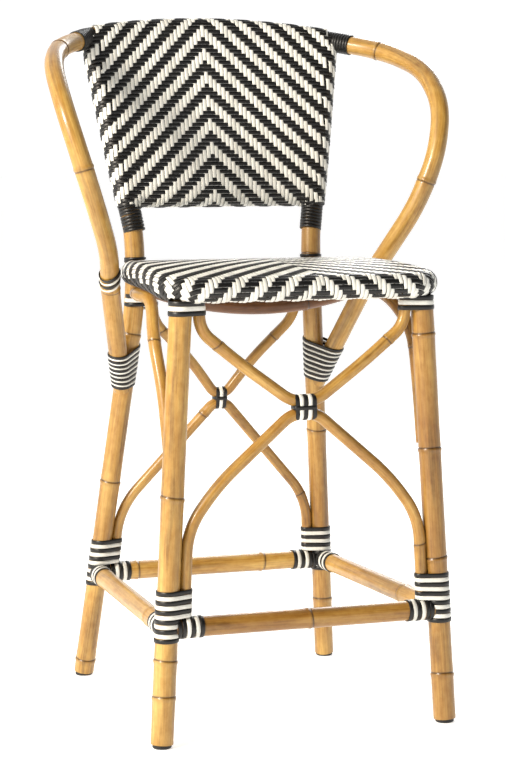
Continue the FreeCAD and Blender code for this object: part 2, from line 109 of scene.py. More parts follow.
class StoolSizes(bpy.types.PropertyGroup):
    """Sizes of the woven strands and of the bindings."""
    column_pitch: length("White strand spacing", "Spacing of the white strands, seat and back", 6.5)
    row_pitch: length("Black strand spacing, back", "Spacing of the black strands of the back", 6.0)
    seat_row_pitch: length("Black strand spacing, seat", "Spacing of the black strands of the seat", 7.2)
    strand_thickness: length("Strand thickness", "Thickness of one flat strand of the weave", 1.5)
    turn_gap: length("Gap between turns", "Gap between neighbouring turns of a binding", 0.35)
    knot_height: length("Node ring height", "How far a node ring stands out of a 30 mm rattan pole", 0.9)


class StoolColours(bpy.types.PropertyGroup):
    """Colours of the rattan and of the resin strands."""
    cane_pale: colour("Rattan, pale", "Pale fibres of the rattan", "#DAB566")
    cane_honey: colour("Rattan, honey", "Main colour of the rattan", "#AE8137")
    cane_brown: colour("Rattan, brown", "Brown streaks and node rings of the rattan", "#55340F")
    strand_white: colour("White strand", "Colour of the white resin strand", "#EDEDE6")
    strand_black: colour("Black strand", "Colour of the black resin strand", "#121110")
    floor: colour("Floor", "Colour of the studio floor", "#F7F6F4")


def sizes():
    return bpy.context.scene.stool_sizes


def colours():
    return bpy.context.scene.stool_colours


# ---------------------------------------------------------------- lines through space

def unit(vector):
    return vector / np.linalg.norm(vector)


def mirrored(points):
    return points * np.array([-1.0, 1.0, 1.0])


def on_line(points, height):
    """Point at a height on the first run of a pole."""
    low, high = points[0], points[1]
    return low + (high - low) * (height - low[2]) / (high[2] - low[2])


def front_plane(x, height):
    return np.array([x, on_line(FRONT_LEG, height)[1], height])


def rear_plane(x, height):
    return np.array([x, on_line(REAR_LEG, height)[1], height])


def distances(points):
    """Distance from the start of a line to each of its points."""
    return np.concatenate([[0.0], np.cumsum(np.linalg.norm(np.diff(points, axis=0), axis=1))])


def spaced(points, step):
    """The same line with evenly spaced points."""
    along = distances(points)
    count = max(2, int(math.ceil(along[-1] / step)) + 1)
    places = np.linspace(0.0, along[-1], count)
    return np.stack([np.interp(places, along, points[:, i]) for i in range(points.shape[1])], axis=1)


def bent(corners, radii=None, step=3.0):
    """Straight runs joined by tangent arcs, as large as the runs allow unless a radius is given."""
    radii = radii or {}
    result = [corners[0]]
    for index in range(1, len(corners) - 1):
        before, corner, after = corners[index - 1], corners[index], corners[index + 1]
        into, out = unit(corner - before), unit(after - corner)
        turn = math.acos(np.clip(into @ out, -1, 1))
        room = 0.45 * min(np.linalg.norm(corner - before), np.linalg.norm(after - corner))
        radius = radii.get(index, room / math.tan(turn / 2))
        first = corner - into * radius * math.tan(turn / 2)
        side = unit(out - into * (out @ into))
        for angle in np.linspace(0, turn, max(4, int(radius * turn / step))):
            result.append(first + into * radius * math.sin(angle) + side * radius * (1 - math.cos(angle)))
    result.append(corners[-1])
    return spaced(np.array(result), step)


def arc(start, middle, end, step=3.0):
    """Circular arc through three points."""
    a, b = middle - start, end - start
    normal = np.cross(a, b)
    offset = np.cross(normal, a) * (b @ b) + np.cross(b, normal) * (a @ a)
    centre = start + offset / (2 * normal @ normal)
    first = start - centre
    across = np.cross(unit(normal), first)
    last = end - centre
    sweep = math.atan2(last @ across, last @ first) % (2 * math.pi)
    count = max(8, int(np.linalg.norm(first) * sweep / step))
    return np.array([centre + first * math.cos(angle) + across * math.sin(angle)
                     for angle in np.linspace(0, sweep, count)])


def directions(points, closed=False):
    """Unit tangent at every point of a line."""
    if closed:
        ahead = np.roll(points, -1, axis=0) - np.roll(points, 1, axis=0)
    else:
        ahead = np.gradient(points, axis=0)
    return ahead / np.linalg.norm(ahead, axis=1)[:, None]


def steady_facings(points, start):
    """A direction square to the line at every point, carried along it without twisting."""
    tangents = directions(points)
    facing = np.array(start, float)
    result = []
    for tangent in tangents:
        facing = unit(facing - tangent * (facing @ tangent))
        result.append(facing)
    return np.array(result)


# ---------------------------------------------------------------- nodes and materials

def add(tree, kind, inputs=None, **settings):
    """Adds a node with its settings. Each input is a value, or a node or socket to link from."""
    node = tree.nodes.new(kind)
    for name, value in settings.items():
        setattr(node, name, value)
    for name, value in (inputs or {}).items():
        if isinstance(value, bpy.types.Node):
            value = value.outputs[0]
        if isinstance(value, bpy.types.NodeSocket):
            tree.links.new(value, node.inputs[name])
        else:
            node.inputs[name].default_value = value
    return node


def new_material(name):
    material = bpy.data.materials.new(name)
    material.use_nodes = True
    material.node_tree.nodes.clear()
    return material, material.node_tree


def ramp(tree, source, *stops):
    """Colour ramp over a value, from (place, linear colour) stops."""
    node = add(tree, "ShaderNodeValToRGB", {"Fac": source})
    elements = node.color_ramp.elements
    while len(elements) < len(stops):
        elements.new(0.5)
    for element, (place, tint) in zip(elements, stops):
        element.position = place
        element.color = (*tint, 1.0)
    return node


def mix(tree, factor, first, second, blend="MIX"):
    """Mixes two colours."""
    return add(tree, "ShaderNodeMix", {"Factor": factor, 6: first, 7: second},
               data_type="RGBA", blend_type=blend).outputs[2]


def noise(tree, place, scale, detail, roughness=0.5):
    """Noise with a scale for each axis."""
    scaled = add(tree, "ShaderNodeMapping", {"Vector": place, "Scale": scale})
    return add(tree, "ShaderNodeTexNoise",
               {"Vector": scaled, "Scale": 1.0, "Detail": detail, "Roughness": roughness})


def attribute(tree, name, output="Fac"):
    return add(tree, "ShaderNodeAttribute", attribute_name=name).outputs[output]


def bump(tree, height, strength, distance):
    return add(tree, "ShaderNodeBump", {"Height": height, "Strength": strength, "Distance": distance})


def surface(tree, **inputs):
    """Ends a material in the principled shader; underscores stand for the spaces in its inputs' names."""
    named = {name.replace("_", " "): value for name, value in inputs.items()}
    add(tree, "ShaderNodeOutputMaterial", {"Surface": add(tree, "ShaderNodeBsdfPrincipled", named)})


def lacquered_rattan(name, pale, honey, brown):
    """Rattan cane, steam bent and lacquered: long fibres, darker streaks that run with the pole, brown
    node rings, and a clear glossy coat."""
    material, tree = new_material(name)
    away = add(tree, "ShaderNodeCombineXYZ", {"Z": attribute(tree, "tone")})
    grain = attribute(tree, "grain", "Vector")
    shifted = add(tree, "ShaderNodeVectorMath", {0: grain, 1: away}, operation="ADD")

    def streaks(width, stretch, detail):
        """Noise in streaks of a width in metres that are stretched along the pole."""
        return noise(tree, shifted, (1 / width, 1 / width, 1 / (width * stretch)), detail, 0.6)

    fibres, stains, mottle = streaks(0.0022, 26, 3.0), streaks(0.017, 11, 2.0), streaks(0.009, 1.6, 3.0)
    base = ramp(tree, stains, (0.36, brown), (0.46, honey), (0.56, honey), (0.66, pale))
    fine = ramp(tree, fibres, (0.30, brown), (0.48, honey), (0.70, pale))
    soft = ramp(tree, mottle, (0.35, honey), (0.65, pale))
    patchy = mix(tree, 0.30, mix(tree, 0.40, base, fine), soft)
    darkening = add(tree, "ShaderNodeMath", {0: attribute(tree, "ring"), 1: 0.85},
                    operation="MULTIPLY", use_clamp=True)
    ringed = mix(tree, darkening, patchy, (*[channel * 0.55 for channel in brown], 1.0))
    # Some poles are browner than others: partly the cane's own colour, and partly painted light and shade
    # that makes a whole pole darker or paler
    browned_and_shaded = mix(tree, attribute(tree, "browning_and_shade"), ringed, (0.44, 0.31, 0.15, 1.0), "MULTIPLY")
    rough = add(tree, "ShaderNodeMapRange", {"Value": stains, "To Min": 0.30, "To Max": 0.48})
    surface(tree, Base_Color=browned_and_shaded, Roughness=rough, Normal=bump(tree, fibres, 0.25, 0.0004), IOR=1.5,
            Coat_Weight=0.3, Coat_Roughness=0.16, Coat_IOR=1.5)
    return material


def resin_strand(name, tint, darker, roughness):
    """Extruded resin strand, flat with rounded edges: a satin surface with fine drawn lines along it, and
    each strand a little lighter or darker than the next."""
    material, tree = new_material(name)
    grain = attribute(tree, "grain", "Vector")
    # Drawn lines are about 0.3 mm apart on the real strand; they are drawn at 0.9 mm so that they show
    lines = noise(tree, grain, (1100.0, 1100.0, 30.0), 2.0)
    clouds = noise(tree, grain, (60.0, 60.0, 45.0), 2.0)
    half_tone = add(tree, "ShaderNodeMath", {0: attribute(tree, "tone"), 1: 0.5}, operation="MULTIPLY")
    blend = add(tree, "ShaderNodeMath", {0: clouds, 1: 0.5, 2: half_tone},
                operation="MULTIPLY_ADD", use_clamp=True)
    rough = add(tree, "ShaderNodeMapRange",
                {"Value": lines, "To Min": roughness - 0.06, "To Max": roughness + 0.08})
    surface(tree, Base_Color=ramp(tree, blend, (0.15, darker), (0.65, tint)), Roughness=rough,
            Normal=bump(tree, lines, 0.3, 0.0002), IOR=1.5)
    return material


def speckled(name, low, high, grain_mm, roughness, metallic=0.0):
    """Plain small parts: a fine grain in colour and height on Object coordinates."""
    material, tree = new_material(name)
    specks = noise(tree, add(tree, "ShaderNodeTexCoord").outputs["Object"], [1 / (grain_mm * MM)] * 3, 3.0)
    surface(tree, Base_Color=ramp(tree, specks, (0.35, linear(low)), (0.65, linear(high))),
            Roughness=roughness, Normal=bump(tree, specks, 0.2, 0.0001), Metallic=metallic)
    return material


def material_for(slot):
    """The material of a slot, made once."""
    tints = colours()
    makers = {
        "lacquered rattan cane": lambda: lacquered_rattan(
            "lacquered rattan cane", tuple(tints.cane_pale), tuple(tints.cane_honey),
            tuple(tints.cane_brown)),
        # The bow under the seat is darker as painted shade, for the shade that the seat casts on it: the same
        # fibres under a dark reddish brown
        "stained rattan cane": lambda: lacquered_rattan(
            "stained rattan cane", linear("#80501C"), linear("#653B12"), linear("#3C2109")),
        "white resin strand": lambda: resin_strand(
            "white resin strand", tuple(tints.strand_white), linear("#CFCFC8"), 0.36),
        "black resin strand": lambda: resin_strand(
            "black resin strand", tuple(tints.strand_black), linear("#080808"), 0.40),
        # Moulded polypropylene foot: matt black with a fine moulded grain
        "moulded polypropylene": lambda: speckled("moulded polypropylene", "#141313", "#211F1E", 0.5, 0.55),
        # Turned beech dowel: pale pinkish wood, sanded and unlacquered
        "turned beech": lambda: speckled("turned beech", "#C39A6B", "#DDBB8E", 1.5, 0.6),
        # Zinc plated steel screw: dull silver with a faint yellow passivation
        "zinc plated steel": lambda: speckled("zinc plated steel", "#A8A598", "#C9C7BD", 0.8, 0.35, 1.0),
    }
    return bpy.data.materials.get(slot) or makers[slot]()


# ---------------------------------------------------------------- the sweep: poles and strands along lines

def sweep_tree():
    """Node tree that sweeps a rounded section along every line of its input mesh. The lines carry facing
    (which way the section's thickness points), along (distance from the line's start) and size."""
    name = "Sweep a section along lines"
    if name in bpy.data.node_groups:
        return bpy.data.node_groups[name]
    tree = bpy.data.node_groups.new(name, "GeometryNodeTree")
    for label, kind in (("Geometry", "Geometry"), ("Width", "Float"), ("Thickness", "Float"),
                        ("Squareness", "Float"), ("Sides", "Int"), ("Material", "Material")):
        tree.interface.new_socket(label, in_out="INPUT", socket_type="NodeSocket" + kind)
    tree.interface.new_socket("Geometry", in_out="OUTPUT", socket_type="NodeSocketGeometry")
    given = add(tree, "NodeGroupInput").outputs

    def vector(operation, inputs):
        return add(tree, "ShaderNodeVectorMath", inputs, operation=operation)

    def named(label, kind):
        return add(tree, "GeometryNodeInputNamedAttribute", {"Name": label}, data_type=kind)

    def stored(label, geometry, value):
        inputs = {"Name": label, "Geometry": geometry, "Value": value}
        return add(tree, "GeometryNodeStoreNamedAttribute", inputs, data_type="FLOAT_VECTOR", domain="POINT")

    # Section: a circle of radius 1 that squareness below 1 swells towards a rounded box
    circle = add(tree, "GeometryNodeCurvePrimitiveCircle", {"Radius": 1.0, "Resolution": given["Sides"]},
                 mode="RADIUS")
    place = add(tree, "GeometryNodeInputPosition")
    power = add(tree, "ShaderNodeCombineXYZ", {axis: given["Squareness"] for axis in "XYZ"})
    swollen = vector("POWER", {0: vector("ABSOLUTE", {0: place}), 1: power})
    signed = vector("MULTIPLY", {0: swollen, 1: vector("SIGN", {0: place})})
    full = add(tree, "ShaderNodeCombineXYZ", {"X": given["Thickness"], "Y": given["Width"]})
    sized = vector("MULTIPLY", {0: signed, 1: vector("SCALE", {0: full, "Scale": 0.5})})
    shaped = add(tree, "GeometryNodeSetPosition", {"Geometry": circle, "Position": sized})
    section = stored("section", shaped, place)

    # Lines, and the sweep itself
    curves = add(tree, "GeometryNodeMeshToCurve", {"Mesh": given["Geometry"]})
    turned = add(tree, "GeometryNodeSetCurveNormal",
                 {"Curve": curves, "Normal": named("facing", "FLOAT_VECTOR")}, mode="FREE")
    solid = add(tree, "GeometryNodeCurveToMesh", {"Curve": turned, "Profile Curve": section,
                                                  "Scale": named("size", "FLOAT"), "Fill Caps": True})

    # Where each point lies in the straightened pole, for the fibres
    across = add(tree, "ShaderNodeSeparateXYZ", {0: named("section", "FLOAT_VECTOR")}).outputs
    grain = add(tree, "ShaderNodeCombineXYZ", {"X": across[0], "Y": across[1], "Z": named("along", "FLOAT")})
    smooth = add(tree, "GeometryNodeSetShadeSmooth", {"Geometry": stored("grain", solid, grain)})
    real = add(tree, "GeometryNodeRealizeInstances", {"Geometry": smooth})
    finish = add(tree, "GeometryNodeSetMaterial", {"Geometry": real, "Material": given["Material"]})
    add(tree, "NodeGroupOutput", {"Geometry": finish})
    return tree


def guide(points, facing, closed=False, size=None, tone=0.0):
    """One line for the sweep, in millimetres."""
    count = len(points)
    facings = np.broadcast_to(np.asarray(facing, float), (count, 3))
    return {
        "points": np.asarray(points, float), "facing": facings, "closed": closed, "tone": tone,
        "size": np.ones(count) if size is None else size,
    }


def swept(name, guides, width, thickness, sides, squareness, material):
    """Mesh of sections swept along guide lines; width and thickness are in millimetres."""
    vertices, edges, facing, along, size, tone = [], [], [], [], [], []
    for each in guides:
        first, points = len(vertices), each["points"]
        vertices.extend(points * MM)
        edges.extend((first + i, first + i + 1) for i in range(len(points) - 1))
        if each["closed"]:
            edges.append((first + len(points) - 1, first))
        facing.extend(each["facing"])
        along.extend(distances(points) * MM)
        size.extend(each["size"])
        tone.extend([each["tone"]] * len(points))
    lines = bpy.data.meshes.new(name + "_lines")
    lines.from_pydata([tuple(v) for v in vertices], edges, [])
    for label, kind, data, field in (
        ("facing", "FLOAT_VECTOR", facing, "vector"), ("along", "FLOAT", along, "value"),
        ("size", "FLOAT", size, "value"), ("tone", "FLOAT", tone, "value"),
    ):
        layer = lines.attributes.new(label, kind, "POINT")
        layer.data.foreach_set(field, np.array(data, np.float32).ravel())
    holder = bpy.data.objects.new(name + "_lines", lines)
    bpy.context.scene.collection.objects.link(holder)
    tree = sweep_tree()
    modifier = holder.modifiers.new("Sweep", "NODES")
    modifier.node_group = tree
    values = {"Width": width * MM, "Thickness": thickness * MM, "Squareness": squareness, "Sides": sides,
              "Material": material}
    for item in tree.interface.items_tree:
        if item.name in values:
            modifier[item.identifier] = values[item.name]
    graph = bpy.context.evaluated_depsgraph_get()
    mesh = bpy.data.meshes.new_from_object(holder.evaluated_get(graph), depsgraph=graph)
    holder.modifiers.remove(modifier)
    bpy.data.objects.remove(holder)
    mesh.name = name
    face_outwards(mesh)
    piece = bpy.data.objects.new(name, mesh)
    bpy.context.scene.collection.objects.link(piece)
    if not mesh.polygons:
        raise RuntimeError(name + " came out empty")
    return piece


def face_outwards(mesh):
    """Turns all the faces over if the closed shells enclose a negative volume."""
    places = np.empty(len(mesh.vertices) * 3)
    mesh.vertices.foreach_get("co", places)
    places = places.reshape(-1, 3)
    mesh.calc_loop_triangles()
    corners = np.empty(len(mesh.loop_triangles) * 3, int)
    mesh.loop_triangles.foreach_get("vertices", corners)
    a, b, c = (places[corners.reshape(-1, 3)[:, i]] for i in range(3))
    if np.einsum("ij,ij->i", a, np.cross(b, c)).sum() < 0:
        mesh.flip_normals()


def finished(piece, slot, *nodes):
    """The piece rides with the stool and stands for its CAD nodes, which are hidden. The slot is not used."""
    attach(piece, "root")
    if nodes:
        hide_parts(*nodes)


# ---------------------------------------------------------------- poles

# How much browner each pole is painted, from 0 for pale cane to 1: partly the cane's own colour and partly
# painted light and shade, with most right-hand poles darker and the right arm paler for how the light falls
# on them
POLE_BROWNING_AND_SHADE = {
    "front_leg_left": 0.12, "front_leg_right": 0.55, "rear_leg_left": 0.25, "rear_leg_right": 0.45,
    "arm_left": 0.15, "arm_right": 0.0, "front_foot_rail": 0.6, "rear_foot_rail": 0.1,
    "side_foot_rail_left": 0.0, "side_foot_rail_right": 0.1, "front_brace_upper": 0.25,
    "front_brace_lower": 0.35, "rear_brace_upper": 0.4, "rear_brace_lower": 0.45, "side_brace_left": 0.25,
    "side_brace_right": 0.6,
}


def make_pole(name, centreline, radius, knots=(), facing=(0.0, -1.0, 0.0), seed=0,
              cane="lacquered rattan cane"):
    """Rattan pole along a centreline in millimetres. Knots are distances from its start to its node rings."""
    rng = np.random.default_rng(seed)
    points = spaced(centreline, 3.0)
    total = float(np.linalg.norm(np.diff(points, axis=0), axis=1).sum())
    places = set(np.linspace(0, total, len(points)))
    for knot in knots:
        places.update(knot + offset for offset in np.arange(-9.0, 9.1, 0.75) if 0 < knot + offset < total)
    places = np.array(sorted(places))
    places = places[np.concatenate([[True], np.diff(places) > 0.3])]
    even = np.linspace(0, total, len(points))
    points = np.stack([np.interp(places, even, points[:, i]) for i in range(3)], axis=1)
    piece = swept(name, [guide(points, steady_facings(points, facing), tone=float(rng.uniform(0, 9)))],
                  2 * radius, 2 * radius, 28, 1.0, material_for(cane))
    # The per-pole darkening passed here is partly painted light and shade
    dress_pole(piece.data, radius, knots, POLE_BROWNING_AND_SHADE.get(name.replace("_cane", ""), 0.2), rng)
    finished(piece, "rattan", name.replace("_cane", ""))
    return piece


def dress_pole(mesh, radius, knots, browning_and_shade, rng):
    """Raises the node rings, cuts the groove beside each, and makes the pole slightly uneven."""
    count = len(mesh.vertices)
    places, normals, grain = np.empty(count * 3), np.empty(count * 3), np.empty(count * 3, np.float32)
    mesh.vertices.foreach_get("co", places)
    mesh.vertex_normals.foreach_get("vector", normals)
    mesh.attributes["grain"].data.foreach_get("vector", grain)
    places, normals, grain = places.reshape(-1, 3), normals.reshape(-1, 3), grain.reshape(-1, 3)
    along = grain[:, 2] / MM
    angle = np.arctan2(grain[:, 1], grain[:, 0])
    thick = sizes().knot_height / MM * radius / 15.0
    height = 0.006 * radius * (np.sin(along / 47 + rng.uniform(0, 6)) + np.sin(2 * angle + along / 90))
    rings = np.zeros(count)
    for knot in knots:
        skew = rng.uniform(0.4, 2.2) * np.cos(angle + rng.uniform(0, 6))
        distance = along - knot - skew
        # A sharp ring with a groove beside it, on a low swelling
        height += thick * np.exp(-(distance / 2.6) ** 2)
        height -= 0.55 * thick * np.exp(-((distance - 3.6) / 0.9) ** 2)
        height += 0.35 * thick * np.exp(-(distance / 16.0) ** 2)
        rings += np.exp(-((distance - 3.2) / 1.1) ** 2) + 0.22 * np.exp(-((distance - 1.0) / 4.5) ** 2)
    ends = (np.abs(along - along.min()) < 0.01) | (np.abs(along - along.max()) < 0.01)
    height[ends] = 0.0
    places += normals * height[:, None] * MM
    mesh.vertices.foreach_set("co", places.ravel())
    # Darkening of the pole, partly its own colour and partly painted shade: its per-pole value, with random
    # patches along it
    patches = 0.12 * np.sin(along / 83 + rng.uniform(0, 6)) + 0.08 * np.sin(along / 29 + angle)
    for label, values in (("ring", rings), ("browning_and_shade", browning_and_shade + patches)):
        layer = mesh.attributes.new(label, "FLOAT", "POINT")
        layer.data.foreach_set("value", np.clip(values, 0, 1).astype(np.float32))
    mesh.update()


def leg_knots(points, heights):
    """Distances from a leg's start to node rings at given heights."""
    return [float(np.interp(height, points[:, 2], distances(points))) for height in heights]


def rod_line(plane, corners):
    """A rod of the X, from (x, z) corners of its right half."""
    right = np.array([plane(x, z) for x, z in corners])
    return bent(np.concatenate([right, mirrored(right)[::-1]]))


FRONT_GAP = FRONT_LEG_RADIUS + FRONT_ROD_RADIUS
REAR_GAP = REAR_LEG_RADIUS + REAR_ROD_RADIUS
ROD_END = FOOT_RAIL_HEIGHT + FOOT_RAIL_RADIUS + 4
ROD_CORNERS = {
    "front_brace_upper": [(on_line(FRONT_LEG, 612)[0] - FRONT_GAP, 612), (151, 574), (95, 528),
                          (18, FRONT_TIE_HEIGHT + FRONT_ROD_RADIUS)],
    "front_brace_lower": [(on_line(FRONT_LEG, ROD_END)[0] - FRONT_GAP, ROD_END), (173, 300), (128, 360),
                          (18, FRONT_TIE_HEIGHT - FRONT_ROD_RADIUS)],
    "rear_brace_upper": [(on_line(REAR_LEG, 604)[0] - REAR_GAP, 604), (113, 560), (50, 497),
                         (10, REAR_TIE_HEIGHT + REAR_ROD_RADIUS)],
    "rear_brace_lower": [(on_line(REAR_LEG, ROD_END)[0] - REAR_GAP, ROD_END), (153, 268),
                         (10, REAR_TIE_HEIGHT - REAR_ROD_RADIUS)],
}


def top_corner_line():
    """The right-hand arm's centreline, which starts inside the end of the top rail."""
    rail = arc(*TOP_RAIL)
    inner = rail[-14]
    return bent(np.concatenate([[inner], ARM]), {1: 26.0})


class STOOL_OT_legs(bpy.types.Operator):
    """Make the four legs, with the back posts that grow out of the rear ones"""
    bl_idname = "stool.legs"
    bl_label = "Legs and back posts"

    def execute(self, context):
        heights = {
            "front_leg_left": (69, 120, 345), "front_leg_right": (69, 238, 395, 560),
            "rear_leg_left": (25, 310, 540), "rear_leg_right": (96, 377, 655),
        }
        for seed, (name, rings) in enumerate(heights.items()):
            corners = FRONT_LEG if name.startswith("front") else REAR_LEG
            start = on_line(corners, GLIDE_HEIGHT - 0.5)
            path = bent(np.concatenate([[start], corners[1:]]))
            if name.endswith("left"):
                path = mirrored(path)
            radius = FRONT_LEG_RADIUS if name.startswith("front") else REAR_LEG_RADIUS
            make_pole(name + "_cane", path, radius, leg_knots(path, rings), seed=seed + 1)
        return {"FINISHED"}


class STOOL_OT_arms(bpy.types.Operator):
    """Make the bent arms and the rail that joins them along the top of the back"""
    bl_idname = "stool.arms"
    bl_label = "Arms and top rail"

    def execute(self, context):
        path = top_corner_line()
        make_pole("arm_right_cane", path, ARM_RADIUS, (122.0, 427.0, 640.0), seed=11)
        make_pole("arm_left_cane", mirrored(path), ARM_RADIUS, (138.0, 405.0, 622.0), seed=12)
        make_pole("back_top_rail_cane", arc(*TOP_RAIL)[8:-8], ARM_RADIUS, (140.0,), seed=13)
        lower_y, lower_z = LOWER_RAIL_MIDDLE
        end = post_at(lower_z)
        path = arc(mirrored(end), np.array([0.0, lower_y, lower_z]), end)
        make_pole("back_lower_rail_cane", path, LOWER_BACK_RAIL_RADIUS, (120.0,), seed=14)
        return {"FINISHED"}


class STOOL_OT_seat_frame(bpy.types.Operator):
    """Make the rails inside the seat and the bow under it"""
    bl_idname = "stool.seat_frame"
    bl_label = "Seat frame"

    def execute(self, context):
        right = line((148, 128), (177, 10), (196, -226))
        corners = np.concatenate([right, (right * [-1, 1])[::-1]])
        corners = np.column_stack([corners, seat_height(corners[:, 1])])
        make_pole("seat_hoop_cane", bent(corners, {2: 40.0, 3: 40.0}), SEAT_RAIL_RADIUS, (200, 700), seed=21)
        rear_y, rear_z = SEAT_PROFILE[0]
        rear_rail = line((-140, rear_y, rear_z), (140, rear_y, rear_z))
        make_pole("seat_rear_rail_cane", rear_rail, SEAT_RAIL_RADIUS, (90.0,), seed=22)
        # The bow lies under the seat, so its darker material is painted shade
        make_pole("seat_cross_bow_cane", arc(*SEAT_BOW), SEAT_BOW_RADIUS, (70.0, 250.0), seed=23,
                  cane="stained rattan cane")
        return {"FINISHED"}


class STOOL_OT_foot_rails(bpy.types.Operator):
    """Make the four foot rails"""
    bl_idname = "stool.foot_rails"
    bl_label = "Foot rails"

    def execute(self, context):
        front, rear = on_line(FRONT_LEG, FOOT_RAIL_HEIGHT), on_line(REAR_LEG, FOOT_RAIL_HEIGHT)
        rails = {
            "front_foot_rail": (mirrored(front), front, (208.0, 385.0)),
            "rear_foot_rail": (mirrored(rear), rear, (62.0, 268.0)),
            "side_foot_rail_left": (mirrored(front), mirrored(rear), (78.0, 372.0)),
            "side_foot_rail_right": (front, rear, (112.0, 388.0)),
        }
        for seed, (name, (start, end, knots)) in enumerate(rails.items()):
            make_pole(name + "_cane", np.array([start, end]), FOOT_RAIL_RADIUS, knots,
                      facing=(0.0, 0.0, 1.0), seed=31 + seed)
        return {"FINISHED"}


class STOOL_OT_rods(bpy.types.Operator):
    """Make the thin rods: an X in front and behind, and a bent one on each side"""
    bl_idname = "stool.rods"
    bl_label = "Bracing rods"

    def execute(self, context):
        for seed, (name, corners) in enumerate(ROD_CORNERS.items()):
            plane = front_plane if name.startswith("front") else rear_plane
            radius = FRONT_ROD_RADIUS if name.startswith("front") else REAR_ROD_RADIUS
            make_pole(name + "_cane", rod_line(plane, corners), radius, (66.0 + 9 * seed, 372.0 - 11 * seed),
                      seed=41 + seed)
        side = bent(SIDE_ROD)
        make_pole("side_brace_right_cane", side, SIDE_ROD_RADIUS, (96.0, 318.0), seed=51)
        make_pole("side_brace_left_cane", mirrored(side), SIDE_ROD_RADIUS, (110.0, 296.0), seed=52)
        return {"FINISHED"}


# ---------------------------------------------------------------- the woven skins

CLOTH_RADIUS = 16.9      # from a seat rail's centreline to the middle of the weave on it


def seat_height(y):
    return np.polyval(np.polyfit(SEAT_PROFILE[:, 0], SEAT_PROFILE[:, 1], 2), y)


def seat_outline():
    """Plan of the seat rails' centrelines, with the outward direction at every point."""
    corners = np.column_stack([SEAT_CORNERS, np.zeros(len(SEAT_CORNERS))])
    points = bent(corners, {1: 4.0, 3: 40.0, 4: 40.0, 6: 4.0}, step=1.0)[:-1, :2]
    ahead = directions(points, closed=True)
    return points, np.column_stack([ahead[:, 1] * -1, ahead[:, 0]]) * outward_sign(points)


def outward_sign(points):
    """+1 when the left of a closed plan line is outside it."""
    x, y = points[:, 0], points[:, 1]
    area = np.sum(x * np.roll(y, -1) - np.roll(x, -1) * y)
    return -1.0 if area > 0 else 1.0


def on_seat(flat, lift, outline, outward):
    """Places points of the flat sheet (x, y) on the seat: flat on top, then rolled round the rails.
    Returns the places, the directions that face out of the sheet, and how far each is past the rail."""
    gap = np.linalg.norm(flat[:, None, :] - outline[None, :, :], axis=2)
    nearest = gap.argmin(axis=1)
    foot, away = outline[nearest], outward[nearest]
    past = np.einsum("ij,ij->i", flat - foot, away)
    rolled = past > 0
    angle = np.where(rolled, past / CLOTH_RADIUS, 0.0)
    reach = CLOTH_RADIUS + lift
    base = np.where(rolled[:, None], foot, flat)
    level = seat_height(base[:, 1])
    side = away * (reach * np.sin(angle))[:, None]
    places = np.column_stack([base + side, level + reach * np.cos(angle)])
    facing = np.column_stack([away * np.sin(angle)[:, None], np.cos(angle)])
    return places, facing, past, away


FLOAT = 3                      # strands that one passes over, or under, at a time
COLUMNS = np.arange(-40, 41)   # white strands, counted from the middle, past both edges of either skin


def over(column, row, middle, phase=0):
    """True where the white strand lies on top: a three-over, three-under chevron with its point behind."""
    return ((row - phase - np.abs(column - middle)) % (2 * FLOAT)) < FLOAT


def undulation(on_top, thickness, black):
    """Lift of a strand at its crossings and halfway between them; the black ones are pulled less tight."""
    at = np.where(on_top, 1.0, -1.0)
    before = np.concatenate([at[:1], at[:-1]])
    after = np.concatenate([at[1:], at[-1:]])
    crown = np.where((before == at) & (after == at), 1.12, 0.92)
    lift = np.empty(2 * len(at) - 1)
    lift[::2] = at * crown
    lift[1::2] = (at[:-1] * crown[:-1] + at[1:] * crown[1:]) / 2
    same = at[:-1] == at[1:]
    lift[1::2] = np.where(same, lift[1::2], 0.12 if black else -0.12)
    return (lift + (0.10 if black else -0.04)) * thickness * 0.5


def halfway(values):
    """Values with the halfway ones put in between."""
    result = np.empty((2 * len(values) - 1,) + values.shape[1:])
    result[::2] = values
    result[1::2] = (values[:-1] + values[1:]) / 2
    return result


def kept_runs(places, facing, keep, rng):
    """Guide lines for every unbroken run of a strand's kept points that is long enough to show."""
    edges = np.flatnonzero(np.diff(np.concatenate([[False], keep, [False]]).astype(int)))
    return [guide(places[first:last], facing[first:last], tone=float(rng.uniform(0, 1)))
            for first, last in zip(edges[::2], edges[1::2]) if last - first > 3]


def weave(place, strands, seed, row_width, row_squareness):
    """Makes the white and then the black strands of a woven skin; the white ones stand for its CAD node."""
    rng = np.random.default_rng(seed)
    settings = sizes()
    for tint, width, squareness in (
        ("white", settings.column_pitch / MM - 0.45, 0.68), ("black", row_width, row_squareness),
    ):
        white = tint == "white"
        piece = swept(f"{place}_{tint}_strands", strands(white, settings, rng), width,
                      settings.strand_thickness / MM, 8, squareness, material_for(tint + " resin strand"))
        finished(piece, "woven_" + place, *(["woven_" + place] if white else []))


